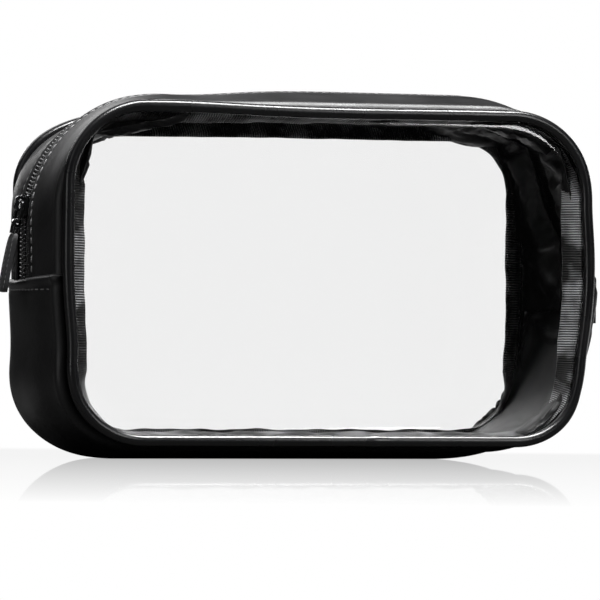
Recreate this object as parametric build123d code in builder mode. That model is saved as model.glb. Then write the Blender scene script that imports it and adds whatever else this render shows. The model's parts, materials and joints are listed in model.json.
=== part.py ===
from build123d import *
import os
from math import cos, radians, sin, tan

# Makeup bag with two clear faces, a soft gusset that bulges between them and a zip round the mouth.
# Millimetres. X runs along the width, -Y is the front, +Z is up, and Z = 0 is the flat of the base.

# ---- driving dimensions ----
# the two faces, measured over the piping
face_width = 200.0
face_height = 121.0
face_low = 4.8            # lowest point of the piping above the base
face_corner = 38.0
seam_depth = 31.8         # from the middle of the bag to the middle of the piping

piping_diameter = 4.2
piping_bore = 2.9
piping_cord_diameter = 2.5
flange_thickness = 0.9    # seam allowance of the piping cover, inside the binding
flange_reach = 9.6        # from the middle of the piping to the allowance's edge
binding_start = 2.6
binding_reach = 10.6
binding_thickness = 2.6
binding_wall = 0.6
window_thickness = 0.5
window_inset = 2.4

# the gusset's outermost skin: its outline in the middle, at its shoulders and beside the piping
mid_half_width = 107.1
mid_top = 133.0
mid_top_radius = 53.5
mid_low_radius = 46.0
mid_zone = 15.0           # the middle is straight from -15 to +15
shoulder_depth = 24.0
shoulder_half_width = 104.4
shoulder_low = 1.6
shoulder_top = 129.8
shoulder_top_radius = 46.0
shoulder_low_radius = 42.0
rim_depth = 29.5
rim_half_width = 100.6
rim_low = 4.2
rim_top = 126.4
rim_radius = 38.6

# layers, as insets from that skin
base_band_layer = (0.0, 1.0)
zip_band_layer = (1.1, 2.1)
tape_layer = (2.3, 2.9)
coil_layer = (1.7, 3.5)
lining_layer = (3.1, 3.5)
zip_inset = 2.6

hem_height = 63.5         # top edge of the base band, which laps over the ends of the zip
zip_end_height = 55.0
lining_seam_height = 54.0
seam_gap = 0.3

# the zip
band_edge = 5.2           # from the zip's centre line to the folded edge of each band
tape_edges = (3.1, 14.0)
coil_edges = (1.0, 2.9)
stop_length = 2.4
stop_inset = 2.1
stop_thickness = 1.2

# the slider and its pull
slider_angle = 10.5       # above the middle of the left bend, where the slider rests
slider_length = 8.6
slider_nose_width = 8.8
slider_tail_width = 7.9
channel_half_height = 1.4
plate_thickness = 0.8
clearance = 0.3           # round the wire
flange_width = 0.75
flange_height = 0.55
post_width = 1.4
crown_width = 2.2
crown_wall = 0.9
wire_diameter = 1.2
loop_width = 6.6          # over the middle of the wire
loop_length = 7.2
loop_corner = 1.2
clip_length = 5.4
clip_width = 4.0
clip_thickness = 2.6
tongue_length = 2.2       # end of the strap, inside the clip
tongue_thickness = 1.3
strap_length = 21.0
strap_width = 8.0
strap_thickness = 2.4
strap_lean = 11.0         # degrees that the strap stands off the upright at its lower end

# the tab at the zip's right end
tab_width = 18.0
tab_thickness = 2.4
tab_gap = 1.1
tab_top = 66.9
tab_bottom = 50.5
tab_root_height = 58.5

# the line along which the two halves of the mouth lean outwards
fold_height = 81.0        # at the middle of the bag
fold_slope = 8.5          # degrees, falling to the right
fold_gap = 0.3

# ---- worked out ----
piping_radius = piping_diameter / 2
seam_half_width = face_width / 2 - piping_radius
seam_low = face_low + piping_radius
seam_top = face_low + face_height - piping_radius
seam_radius = face_corner - piping_radius
bend_x = -(mid_half_width - mid_top_radius)
bend_z = mid_top - mid_top_radius
bend_radius = mid_top_radius - zip_inset
band_zones = {"front": -1, "back": 1}
slant = radians(fold_slope)
fold_normal = (sin(slant), 0, cos(slant))

os.makedirs("parts", exist_ok=True)


def keep(part, label):
    """Names a finished piece and writes it to its own file."""
    part.label = label
    export_step(part, f"parts/{label}.step")


def fold_plane(shift):
    """The slanted plane at which the mouth folds, moved along its normal."""
    return Plane(origin=(0, 0, fold_height), z_dir=fold_normal).offset(shift)


def upright(y):
    """The XZ plane at that depth."""
    return Plane(origin=(0, y, 0), x_dir=(1, 0, 0), z_dir=(0, -1, 0))


def outline(y, inset, half_width, low, top, top_radius, low_radius):
    """A face at depth y with the outline of the bag, moved inwards by the inset."""
    with BuildSketch(upright(y)) as section:
        with Locations((0, (low + top) / 2)):
            Rectangle(2 * (half_width - inset), top - low - 2 * inset)
        fillet(section.vertices().group_by(Axis.Y)[-1], top_radius - inset)
        fillet(section.vertices().group_by(Axis.Y)[0], low_radius - inset)
    return section.sketch


def middle_outline(y, inset):
    return outline(y, inset, mid_half_width, 0, mid_top, mid_top_radius, mid_low_radius)


def shoulder_outline(y, inset):
    shape = (shoulder_half_width, shoulder_low, shoulder_top, shoulder_top_radius, shoulder_low_radius)
    return outline(y, inset, *shape)


def rim_outline(y, inset):
    return outline(y, inset, rim_half_width, rim_low, rim_top, rim_radius, rim_radius)


def middle_block(inset, y_from, y_to, mode):
    """The straight middle of the gusset, as a block."""
    extrude(middle_outline(y_from, inset), amount=y_from - y_to, mode=mode)


def side_block(inset, side, mode):
    """One bulging side of the gusset, from its middle to the piping, as a block."""
    sections = [
        middle_outline(side * mid_zone, inset),
        shoulder_outline(side * shoulder_depth, inset),
        rim_outline(side * rim_depth, inset),
    ]
    loft(sections, mode=mode)


def full_ring(layer):
    """A skin of the whole gusset between two insets."""
    with BuildPart() as ring:
        for inset, mode in zip(layer, (Mode.ADD, Mode.SUBTRACT)):
            middle_block(inset, -mid_zone, mid_zone, mode)
            for side in band_zones.values():
                side_block(inset, side, mode)
    return ring.part


def half_ring(layer, side):
    """A skin of one half of the gusset, from the band's folded edge to the piping."""
    with BuildPart() as ring:
        for inset, mode in zip(layer, (Mode.ADD, Mode.SUBTRACT)):
            middle_block(inset, side * band_edge, side * mid_zone, mode)
            side_block(inset, side, mode)
    return ring.part


def straight_ring(layer, edges, side):
    """A ring of plain section that follows the zip's line."""
    with BuildPart() as ring:
        for inset, mode in zip(layer, (Mode.ADD, Mode.SUBTRACT)):
            middle_block(inset, side * edges[0], side * edges[1], mode)
    return ring.part


def below(part, height):
    with BuildPart() as piece:
        add(part)
        split(bisect_by=Plane.XY.offset(height), keep=Keep.BOTTOM)
    return piece.part


def above(part, height):
    with BuildPart() as piece:
        add(part)
        split(bisect_by=Plane.XY.offset(height), keep=Keep.TOP)
    return piece.part


def cut_at_fold(part, label):
    """Writes the part of a piece below the fold and the part above it."""
    with BuildPart() as lower:
        add(part)
        split(bisect_by=fold_plane(-fold_gap / 2), keep=Keep.BOTTOM)
    with BuildPart() as upper:
        add(part)
        split(bisect_by=fold_plane(fold_gap / 2), keep=Keep.TOP)
    keep(lower.part, f"{label}_lower")
    keep(upper.part, f"{label}_mouth")


def seam_path(side):
    """The line round one face, in the middle of its piping, from the left side upwards."""
    y = side * seam_depth
    inner_x = seam_half_width - seam_radius
    low_z = seam_low + seam_radius
    top_z = seam_top - seam_radius
    diagonal = seam_radius * (1 - cos(radians(45)))
    left, right = -seam_half_width, seam_half_width
    middle_z = (seam_low + seam_top) / 2
    with BuildLine() as path:
        Line((left, y, middle_z), (left, y, top_z))
        ThreePointArc((left, y, top_z), (left + diagonal, y, seam_top - diagonal), (-inner_x, y, seam_top))
        Line((-inner_x, y, seam_top), (inner_x, y, seam_top))
        ThreePointArc((inner_x, y, seam_top), (right - diagonal, y, seam_top - diagonal), (right, y, top_z))
        Line((right, y, top_z), (right, y, low_z))
        ThreePointArc((right, y, low_z), (right - diagonal, y, seam_low + diagonal), (inner_x, y, seam_low))
        Line((inner_x, y, seam_low), (-inner_x, y, seam_low))
        ThreePointArc((-inner_x, y, seam_low), (left + diagonal, y, seam_low + diagonal), (left, y, low_z))
        Line((left, y, low_z), (left, y, middle_z))
    return path.line


def seam_section(side):
    """The plane across the seam at the left side: X points into the bag."""
    return Plane(
        origin=(-seam_half_width, side * seam_depth, (seam_low + seam_top) / 2),
        x_dir=(1, 0, 0),
        z_dir=(0, 0, 1),
    )


def leaning_strip(side, start, reach, thickness, mode=Mode.ADD):
    """A strip that leaves the seam at 45 degrees into the bag, in the open section sketch."""
    middle = (start + reach) / 2 * cos(radians(45))
    with Locations(Location((middle, -side * middle, 0), (0, 0, -45 * side))):
        Rectangle(reach - start, thickness, mode=mode)


# ---- gusset ----
base_band = below(full_ring(base_band_layer), hem_height)
keep(base_band, "base_band")

base_lining = below(full_ring(lining_layer), lining_seam_height)
keep(base_lining, "base_lining")

for name, side in band_zones.items():
    cut_at_fold(above(half_ring(zip_band_layer, side), zip_end_height), f"{name}_zip_band")
    cut_at_fold(above(half_ring(lining_layer, side), lining_seam_height + seam_gap), f"{name}_lining")
    cut_at_fold(above(straight_ring(tape_layer, tape_edges, side), zip_end_height), f"{name}_zip_tape")
    cut_at_fold(above(straight_ring(coil_layer, coil_edges, side), zip_end_height), f"{name}_zip_coil")

# ---- faces: clear window, piping over its cord, bound seam allowance ----
for name, side in band_zones.items():
    path = seam_path(side)

    with BuildPart() as window:
        pane = outline(
            side * seam_depth, window_inset, seam_half_width, seam_low, seam_top, seam_radius, seam_radius
        )
        extrude(pane, amount=window_thickness / 2, both=True)
    cut_at_fold(window.part, f"{name}_window")

    with BuildPart() as piping:
        with BuildSketch(seam_section(side)):
            Circle(piping_radius)
            leaning_strip(side, piping_radius - 0.3, flange_reach, flange_thickness)
            Circle(piping_bore / 2, mode=Mode.SUBTRACT)
        sweep(path=path)
    cut_at_fold(piping.part, f"{name}_piping")

    with BuildPart() as cord:
        with BuildSketch(seam_section(side)):
            Circle(piping_cord_diameter / 2)
        sweep(path=path)
    cut_at_fold(cord.part, f"{name}_piping_cord")

    with BuildPart() as binding:
        with BuildSketch(seam_section(side)):
            leaning_strip(side, binding_start, binding_reach, binding_thickness)
            leaning_strip(
                side,
                binding_start,
                binding_reach - binding_wall,
                binding_thickness - 2 * binding_wall,
                mode=Mode.SUBTRACT,
            )
        sweep(path=path)
    cut_at_fold(binding.part, f"{name}_binding")

# ---- stops at the two ends of the zip, under the hem ----
stop_height = zip_end_height - stop_length - seam_gap
stop_x = mid_half_width - stop_inset
stop_middle = sum(coil_edges) / 2
with BuildPart() as left_stop:
    with BuildSketch(Plane.XY.offset(stop_height)):
        with Locations((-stop_x, 0)):
            RectangleRounded(stop_thickness, 2 * coil_edges[1], 0.4)
    extrude(amount=stop_length)
keep(left_stop.part, "zip_left_stop")

with BuildPart() as right_stops:
    with BuildSketch(Plane.XY.offset(stop_height)):
        with Locations((stop_x, -stop_middle), (stop_x, stop_middle)):
            RectangleRounded(stop_thickness, coil_edges[1] - coil_edges[0], 0.4)
    extrude(amount=stop_length)
keep(right_stops.part, "zip_right_stops")

# ---- slider: local X runs up along the zip, local Z points out of the bag ----
lift = radians(slider_angle)
out_of_bag = Vector(-cos(lift), 0, sin(lift))
along_zip = Vector(sin(lift), 0, cos(lift))
slider_centre = Vector(bend_x, 0, bend_z) + out_of_bag * bend_radius
slider_frame = Plane(origin=slider_centre, x_dir=along_zip, z_dir=out_of_bag)
plate_outer = channel_half_height + plate_thickness
tail, nose = -slider_length / 2, slider_length / 2


def slider_plate(offset):
    """One plate of the slider, wider at the nose, with rounded corners."""
    with BuildSketch(slider_frame.offset(offset)) as plate:
        with BuildLine():
            Polyline(
                (tail, -slider_tail_width / 2),
                (0, -slider_tail_width / 2),
                (nose, -slider_nose_width / 2),
                (nose, slider_nose_width / 2),
                (0, slider_tail_width / 2),
                (tail, slider_tail_width / 2),
                close=True,
            )
        make_face()
        ends = plate.vertices().group_by(Axis.X)
        fillet(ends[0] + ends[-1], 1.2)
    extrude(plate.sketch, amount=plate_thickness)


with BuildPart() as slider_body:
    slider_plate(channel_half_height)
    slider_plate(-plate_outer)
    for level in (channel_half_height - flange_height, -channel_half_height):
        with BuildSketch(slider_frame.offset(level)):
            rail = (slider_tail_width - flange_width) / 2
            with Locations((-0.4, rail), (-0.4, -rail)):
                Rectangle(slider_length - 2.6, flange_width)
        extrude(amount=flange_height)
    with BuildSketch(slider_frame.offset(-channel_half_height)):
        with Locations((nose - 1.5, 0)):
            SlotOverall(2.4, post_width)
    extrude(amount=2 * channel_half_height)
keep(slider_body.part, "slider_body")

# the crown arches over the plate along the zip, and the pull's wire passes under it
crown_from, crown_to = -2.0, 3.4
wire_radius = wire_diameter / 2
wire_height = plate_outer + wire_radius + clearance
crown_inner = wire_height + wire_radius + clearance
bar_x = 1.2
with BuildPart() as slider_crown:
    with BuildSketch(Plane(origin=slider_centre, x_dir=along_zip, z_dir=(0, -1, 0))) as arch:
        with Locations(((crown_from + crown_to) / 2, (plate_outer + crown_inner + crown_wall) / 2)):
            Rectangle(crown_to - crown_from, crown_inner + crown_wall - plate_outer)
        fillet(arch.vertices().group_by(Axis.Y)[-1], 1.3)
        with Locations(((crown_from + crown_to) / 2, (plate_outer + crown_inner) / 2)):
            Rectangle(crown_to - crown_from - 2 * crown_wall, crown_inner - plate_outer, mode=Mode.SUBTRACT)
    extrude(amount=crown_width / 2, both=True)
keep(slider_crown.part, "slider_crown")

# ---- pull: wire loop, metal clip and soft strap, hanging from the crown ----
bar = slider_centre + along_zip * bar_x + out_of_bag * wire_height
swing = radians(strap_lean)
down_strap = Vector(-sin(swing), 0, -cos(swing))
strap_face = Vector(-cos(swing), 0, sin(swing))
with BuildPart() as pull_loop:
    with BuildSketch(Plane(origin=bar, x_dir=(0, 1, 0), z_dir=strap_face), mode=Mode.PRIVATE) as loop_shape:
        with Locations((0, loop_length / 2)):
            RectangleRounded(loop_width, loop_length, loop_corner)
    loop_line = loop_shape.sketch.face().outer_wire()
    with BuildSketch(Plane(origin=loop_line @ 0, z_dir=loop_line % 0)):
        Circle(wire_radius)
    sweep(path=loop_line)
keep(pull_loop.part, "pull_loop")

# the clip's eye holds the loop's lower bar, and its mouth grips the strap's tongue
loop_end = bar + down_strap * loop_length
clip_end = clip_length - clip_thickness / 2
with BuildPart() as pull_clip:
    with BuildSketch(Plane(origin=loop_end, x_dir=down_strap, z_dir=(0, -1, 0))):
        with Locations((clip_end - clip_length / 2, 0)):
            SlotOverall(clip_length, clip_thickness)
        with Locations((clip_end - clip_thickness / 4, 0)):
            Rectangle(clip_thickness / 2, clip_thickness)
        Circle(wire_radius + clearance, mode=Mode.SUBTRACT)
        with Locations((clip_end - tongue_length / 2, 0)):
            Rectangle(tongue_length, tongue_thickness + 0.1, mode=Mode.SUBTRACT)
    extrude(amount=clip_width / 2, both=True)
keep(pull_clip.part, "pull_clip")

strap_start = clip_end + 0.1
with BuildPart() as pull_strap:
    with BuildSketch(Plane(origin=loop_end, x_dir=down_strap, z_dir=strap_face)) as strap:
        with Locations((strap_start + strap_length / 2, 0)):
            RectangleRounded(strap_length, strap_width, 1.5)
    extrude(amount=strap_thickness / 2, both=True)
    with BuildSketch(Plane(origin=loop_end, x_dir=down_strap, z_dir=strap_face)) as tongue:
        with Locations((strap_start - 0.1 - (tongue_length - 0.2) / 2 + 0.5, 0)):
            Rectangle(tongue_length - 0.2 + 1.0, clip_width)
    extrude(tongue.sketch, amount=tongue_thickness / 2, both=True)
keep(pull_strap.part, "pull_strap")

# ---- tab at the zip's right end: a sewn root and a leaf that hangs ----
tab_inner = mid_half_width + tab_gap
tab_middle = tab_inner + tab_thickness / 2
tab_pivot_z = tab_top - tab_thickness / 2
with BuildPart() as side_tab:
    with BuildSketch(upright(0)):
        with Locations((tab_middle, (tab_top + tab_bottom) / 2)):
            SlotOverall(tab_top - tab_bottom, tab_thickness, rotation=90)
        with Locations((tab_middle, tab_bottom + tab_thickness / 4)):
            Rectangle(tab_thickness, tab_thickness / 2)
    extrude(amount=tab_width / 2, both=True)
keep(side_tab.part, "side_tab")

with BuildPart() as side_tab_root:
    with BuildSketch(Plane.YZ.offset(mid_half_width + 0.1)):
        with Locations((0, (tab_root_height + hem_height - 0.4) / 2)):
            Rectangle(tab_width, hem_height - 0.4 - tab_root_height)
    extrude(amount=tab_gap - 0.4)
keep(side_tab_root.part, "side_tab_root")

print("bend centre", round(bend_x, 3), round(bend_z, 3), "radius", round(bend_radius, 3))
print("slider bar", [round(v, 3) for v in bar], "loop end", [round(v, 3) for v in loop_end])
print("fold at the sides", round(fold_height + mid_half_width * tan(slant), 2), "and",
      round(fold_height - mid_half_width * tan(slant), 2))
print("tab pivot", tab_middle, tab_pivot_z)
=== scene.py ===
# %% [markdown]
# # A makeup bag with clear faces
#
# The bag is sewn from soft sheet: two clear faces edged with piping, a black gusset that bulges between
# them, and a zip round the mouth. The frame gives the sizes of every piece, and this notebook builds the
# pieces as the soft goods that they are: thin sheets laid along the seams, then given thickness, folded
# edges, stitches and a finish.

# %% The frame, and the box that it fills before anything is added
import json
from math import cos, pi, radians, sin

import bmesh
import bpy
import numpy as np
from mathutils import Matrix, Vector


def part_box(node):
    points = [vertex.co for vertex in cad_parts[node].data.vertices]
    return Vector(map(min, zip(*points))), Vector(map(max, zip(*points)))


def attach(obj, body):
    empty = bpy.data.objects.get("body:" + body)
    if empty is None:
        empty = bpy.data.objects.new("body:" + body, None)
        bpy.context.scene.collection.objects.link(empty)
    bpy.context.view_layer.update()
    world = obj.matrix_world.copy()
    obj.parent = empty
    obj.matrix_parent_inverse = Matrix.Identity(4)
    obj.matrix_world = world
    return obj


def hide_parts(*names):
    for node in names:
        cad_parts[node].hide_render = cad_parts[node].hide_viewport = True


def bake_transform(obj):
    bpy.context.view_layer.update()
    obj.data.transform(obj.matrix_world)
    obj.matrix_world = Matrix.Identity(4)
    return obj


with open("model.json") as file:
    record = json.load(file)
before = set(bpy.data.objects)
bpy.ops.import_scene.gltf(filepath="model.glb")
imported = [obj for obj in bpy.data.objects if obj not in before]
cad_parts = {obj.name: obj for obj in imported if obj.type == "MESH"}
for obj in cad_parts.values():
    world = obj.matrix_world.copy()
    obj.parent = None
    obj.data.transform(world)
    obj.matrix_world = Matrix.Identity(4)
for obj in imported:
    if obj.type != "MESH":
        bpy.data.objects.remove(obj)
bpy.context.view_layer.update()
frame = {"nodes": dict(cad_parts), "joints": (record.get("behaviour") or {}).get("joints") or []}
bpy.ops.object.select_all(action="DESELECT")
MM = 0.001

# %% [markdown]
# ## Sizes that everything shares
#
# The faces' outline comes from the piping, and the gusset's outline from the base band and the mouth.
# Only radii and cloth sizes, which a box can't tell, are named here. Corners are listed clockwise from the
# upper left one, as seen from the front: soft corners that are sewn by hand are never quite alike.

# %% The outlines, read from the frame
front_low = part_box("front_piping_lower")[0]
front_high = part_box("front_piping_mouth")[1]
base_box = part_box("base_band")
band_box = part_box("front_zip_band_mouth")

PIPING_RADIUS = 2.1 * MM
BAND_THICKNESS = 1.0 * MM
ZIP_BAND_INSET = 1.1 * MM
SEAM_Y = -front_low.y - PIPING_RADIUS
seam_half = -front_low.x - PIPING_RADIUS
seam_low = front_low.z + PIPING_RADIUS
seam_top = front_high.z - PIPING_RADIUS
SEAM_CORNERS = [27.0 * MM, 30.0 * MM, 28.0 * MM, 28.0 * MM]
MID_CORNERS = [53.5 * MM, 53.5 * MM, 60.0 * MM, 33.0 * MM]
SEAM_OUTLINE = np.array([seam_half, seam_low, seam_top] + SEAM_CORNERS)
MID_OUTLINE = np.array([base_box[1].x, base_box[0].z, band_box[1].z + ZIP_BAND_INSET] + MID_CORNERS)
INWARDS = np.array([-1, 1, -1, -1, -1, -1, -1])
HEM_Z = base_box[1].z
ZIP_END_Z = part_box("front_zip_band_lower")[0].z
print("face", 2 * seam_half, seam_top - seam_low, "gusset", MID_OUTLINE)

# %% [markdown]
# ## Laying cloth on the bag
#
# Every soft piece is a flat grid whose columns run round the bag and whose rows run across it. The rows
# know how far they are from the middle, and the gusset's outline grows from the seam to the middle as a
# pillow does, so the same few lines lay bands, linings and tapes. Laying a grid by a formula keeps
# neighbouring pieces exactly parallel, which pushing vertices by hand wouldn't.

# %% How far the gusset has bulged at a depth, and its outline there
PILLOW_REACH = 30.3 * MM
PILLOW_SHAPE = 3.2
PILLOW_FALL = 0.588


def bulge(y):
    """0 at the seam and 1 in the middle of the bag."""
    near = np.clip(np.abs(y) / PILLOW_REACH, 0, 1)
    return (1 - near ** PILLOW_SHAPE) ** PILLOW_FALL


def swell(value, amount, centre, width):
    """A smooth rise of the given amount, or a dip if it is negative."""
    return amount * np.exp(-(((value - centre) / width) ** 2))


# Across the front seam, in mm: how far out, how far from the bag's middle, and how wide.
SEAM_SWELLS = {"ridge": (0.8, 27.6, 1.5), "valley": (-0.8, 22.5, 4.0), "groove": (-1.6, 30.4, 0.8)}


def seam_ridge(depth):
    """Beside the front seam the gusset rolls into a soft ridge between a groove and a shallow valley."""
    return sum(swell(depth, *shape) for shape in SEAM_SWELLS.values())


def seam_outline(inset):
    """The seam's outline, moved inwards by a different amount at each point."""
    return SEAM_OUTLINE + inset[:, None] * INWARDS


def outline_at(y, inset):
    """Half width, low, top and corner radii of the gusset at depth y, moved inwards."""
    share = bulge(y)[:, None]
    inset = np.broadcast_to(inset, y.shape) - MM * seam_ridge(-y / MM)
    return SEAM_OUTLINE * (1 - share) + MID_OUTLINE * share + inset[:, None] * INWARDS


# %% Walking along the upper or the lower half of an outline
def half_marks(end_z, upper):
    """How far along the gusset's middle line its straight and round stretches end."""
    left, right = MID_CORNERS[:2] if upper else MID_CORNERS[:1:-1]
    flat_z, sign = (MID_OUTLINE[2], 1) if upper else (MID_OUTLINE[1], -1)
    sides = [abs(flat_z - sign * radius - np.mean(end_z)) for radius in (left, right)]
    flat_length = 2 * MID_OUTLINE[0] - left - right
    return np.cumsum([0, sides[0], left * pi / 2, flat_length, right * pi / 2, sides[1]])


def half_walk(share, shape, end_z, upper):
    """Points at a share of the way from the left end, round the top or the base, to the right end."""
    half, low, top = shape.T[:3]
    left, right = shape.T[3:5] if upper else shape.T[:4:-1]
    flat_z, sign = (top, 1) if upper else (low, -1)
    marks = half_marks(end_z, upper)
    q = np.interp(share * marks[-1], marks, range(6))
    part = np.clip(np.floor(q), 0, 4)
    t = q - part
    c, s = np.cos(t * pi / 2), np.sin(t * pi / 2)
    left_z, right_z = flat_z - sign * left, flat_z - sign * right
    x = np.select(
        [part == 0, part == 1, part == 2, part == 3],
        [-half, -half + left * (1 - c), (left - half) * (1 - t) + (half - right) * t, half - right * (1 - s)],
        half,
    )
    z = np.select(
        [part == 0, part == 1, part == 2, part == 3],
        [end_z + (left_z - end_z) * t, left_z + sign * left * s, flat_z, right_z + sign * right * c],
        right_z + (end_z - right_z) * t,
    )
    return x, z


def ring_walk(share, shape):
    """Points round a whole outline, from the middle of its base clockwise seen from the front."""
    half0, low0, top0, *corners = SEAM_OUTLINE
    tall = top0 - low0
    spans = [half0 - corners[3], tall - corners[3] - corners[0], 2 * half0 - corners[0] - corners[1],
             tall - corners[1] - corners[2], half0 - corners[2]]
    arcs = [corners[k] * pi / 2 for k in (3, 0, 1, 2)] + [0]
    marks = np.cumsum([0] + [length for pair in zip(spans, arcs) for length in pair][:-1])
    q = np.interp(share * marks[-1], marks, range(10))
    part = np.clip(np.floor(q), 0, 8)
    t = q - part
    c, s = np.cos(t * pi / 2), np.sin(t * pi / 2)
    half, low, top, tl, tr, br, bl = shape.T
    x = np.select(
        [part == k for k in range(8)],
        [(bl - half) * t, bl - half - bl * s, -half, tl - half - tl * c,
         (tl - half) * (1 - t) + (half - tr) * t, half - tr + tr * s, half, half - br + br * c],
        (half - br) * (1 - t),
    )
    z = np.select(
        [part == k for k in range(8)],
        [low, low + bl - bl * c, (low + bl) * (1 - t) + (top - tl) * t, top - tl + tl * s, top,
         top - tr + tr * c, (top - tr) * (1 - t) + (low + br) * t, low + br - br * s],
        low,
    )
    return x, z


# %% [markdown]
# ## The way a soft bag settles
#
# No soft bag is a drawn shape. Its top edge dips between the corners, and its sides give a little. One
# gentle displacement of space is applied to every soft piece alike, so seams stay closed. It fades out at
# the base, which rests on the table, and near the slider, which is hard.

# %% One soft displacement for all the cloth
BEND_CENTRE = np.array([-53.6, 79.5])
BEND_REACH = 48
FACE_REACH = 98
TOP_HEIGHT = 124
SAG_STEEPNESS = 6
SWAY = 0.5

# Each is an amount in mm, a centre and a width. The back's are by degrees round the left bend, those of
# the sides by height, and those of the top by place along the width.
BACK_OUT, BACK_IN = (0.5, 20, 12), (-3.5, 60, 22)
RIGHT_LOW, RIGHT_HIGH, LEFT_LOW = (-3.4, 30, 20), (-1.4, 94, 16), (1.8, 38, 17)
SEAM_RISE, SEAM_DIP, MIDDLE_DIP = (0.7, -58, 26), (-0.4, 0, 35), (-1.6, -50, 26)


def hump(value, centre, width):
    return swell(value, 1, centre, width)


def settle(points):
    """Moves points by a few millimetres at most, the same way for all pieces at that place."""
    x, y, z = points.T / MM
    seam_side = 1 - bulge(points[:, 1])
    up = np.clip(z / TOP_HEIGHT, 0, 1.1) ** SAG_STEEPNESS
    slider = np.clip(1.7 * hump(x, -105, 9) * hump(z, 84, 26) * hump(y, 0, 8), 0, 1)
    out_x, out_z = x - BEND_CENTRE[0], z - BEND_CENTRE[1]
    reach = np.hypot(out_x, out_z)
    angle = np.degrees(np.arctan2(out_z, -out_x))
    behind = np.clip((y + 2) / 16, 0, 1)
    twist = behind * (swell(angle, *BACK_OUT) + swell(angle, *BACK_IN))
    twist = twist * np.clip(reach / BEND_REACH, 0, 1) ** SAG_STEEPNESS
    right = (swell(z, *RIGHT_LOW) + swell(z, *RIGHT_HIGH)) * np.clip(x / FACE_REACH, 0, 1) ** 5
    left = swell(z, *LEFT_LOW) * np.clip(-x / FACE_REACH, 0, 1) ** 5
    top = seam_side * (swell(x, *SEAM_RISE) + swell(x, *SEAM_DIP)) + (1 - seam_side) * swell(x, *MIDDLE_DIP)
    sway = SWAY * np.sin(z * 0.055 + 0.6) * np.sin(y * 0.04 + 1) * np.sign(x)
    sway = sway * np.clip(np.abs(x) / FACE_REACH, 0, 1) ** SAG_STEEPNESS
    move_x = twist * out_x / (reach + 1e-6) + right + left + sway
    move_z = twist * out_z / (reach + 1e-6) + top * up
    return points + (np.stack([move_x, 0 * x, move_z], axis=1) * (1 - slider)[:, None]) * MM


def laid(x, y, z):
    return settle(np.stack([x, y, z], axis=1))


def laid_half(share, y, inset, end_z, upper):
    """Settled points of the gusset's upper or lower half, moved inwards."""
    x, z = half_walk(share, outline_at(y, inset), end_z, upper)
    return laid(x, y, z)


# %% Helpers that add a grid, give it thickness and finish it
def active(piece):
    bpy.ops.object.select_all(action="DESELECT")
    piece.select_set(True)
    bpy.context.view_layer.objects.active = piece


def in_edit(piece, *steps):
    """Runs edit-mode steps on everything in a piece."""
    active(piece)
    bpy.ops.object.mode_set(mode="EDIT")
    bpy.ops.mesh.select_all(action="SELECT")
    for step in steps:
        step()
    bpy.ops.object.mode_set(mode="OBJECT")


def merge_doubles():
    bpy.ops.mesh.remove_doubles(threshold=1e-6)


def outwards():
    bpy.ops.mesh.normals_make_consistent(inside=False)


def coords(piece):
    flat = np.empty(len(piece.data.vertices) * 3)
    piece.data.vertices.foreach_get("co", flat)
    return flat.reshape(-1, 3)


def set_coords(piece, points):
    piece.data.vertices.foreach_set("co", points.ravel())
    piece.data.update()


def apply_modifier(piece, kind, **settings):
    active(piece)
    modifier = piece.modifiers.new(kind.title(), kind)
    for key, value in settings.items():
        setattr(modifier, key, value)
    bpy.ops.object.modifier_apply(modifier=modifier.name)


def lay_grid(name, columns, rows, place, closed=False):
    """A grid primitive whose vertices are laid by place(u, v), with u and v from 0 to 1."""
    bpy.ops.object.select_all(action="DESELECT")
    bpy.ops.mesh.primitive_grid_add(x_subdivisions=columns, y_subdivisions=rows, size=2)
    piece = bpy.context.object
    piece.name = piece.data.name = name
    u, v = (coords(piece)[:, :2].T + 1) / 2
    set_coords(piece, place(u, v))
    if closed:
        in_edit(piece, merge_doubles)
    for face in piece.data.polygons:
        face.use_smooth = True
    return piece


def thicken(piece, thickness, offset=-1.0):
    apply_modifier(piece, "SOLIDIFY", thickness=thickness, offset=offset, use_even_offset=False)
    return piece


def report(piece):
    low, high = coords(piece).min(0) / MM, coords(piece).max(0) / MM
    print(f"{piece.name}: {len(piece.data.polygons)} faces, from {low.round(1)} to {high.round(1)} mm")


# %% [markdown]
# ## Finishes
#
# Several finishes share an effect: the fine grain of coated cloth, the ribs of woven tape and the slight
# unevenness of anything handled, which on the binding also paints patches of light and shade. Each effect is
# one node group that gives a height and a mask, and each material feeds them to its own shader.

# %% Small helpers for node trees
def node(tree, kind, **settings):
    made = tree.nodes.new(kind)
    for key, value in settings.items():
        if key.startswith("in_"):
            made.inputs[int(key[3:])].default_value = value
        else:
            setattr(made, key, value)
    return made


def new_group(name, inputs, outputs):
    group = bpy.data.node_groups.new(name, "ShaderNodeTree")
    for label, value in inputs.items():
        socket = group.interface.new_socket(label, in_out="INPUT", socket_type="NodeSocketFloat")
        socket.default_value = value
    for label in outputs:
        group.interface.new_socket(label, in_out="OUTPUT", socket_type="NodeSocketFloat")
    return group, node(group, "NodeGroupInput"), node(group, "NodeGroupOutput")


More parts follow.
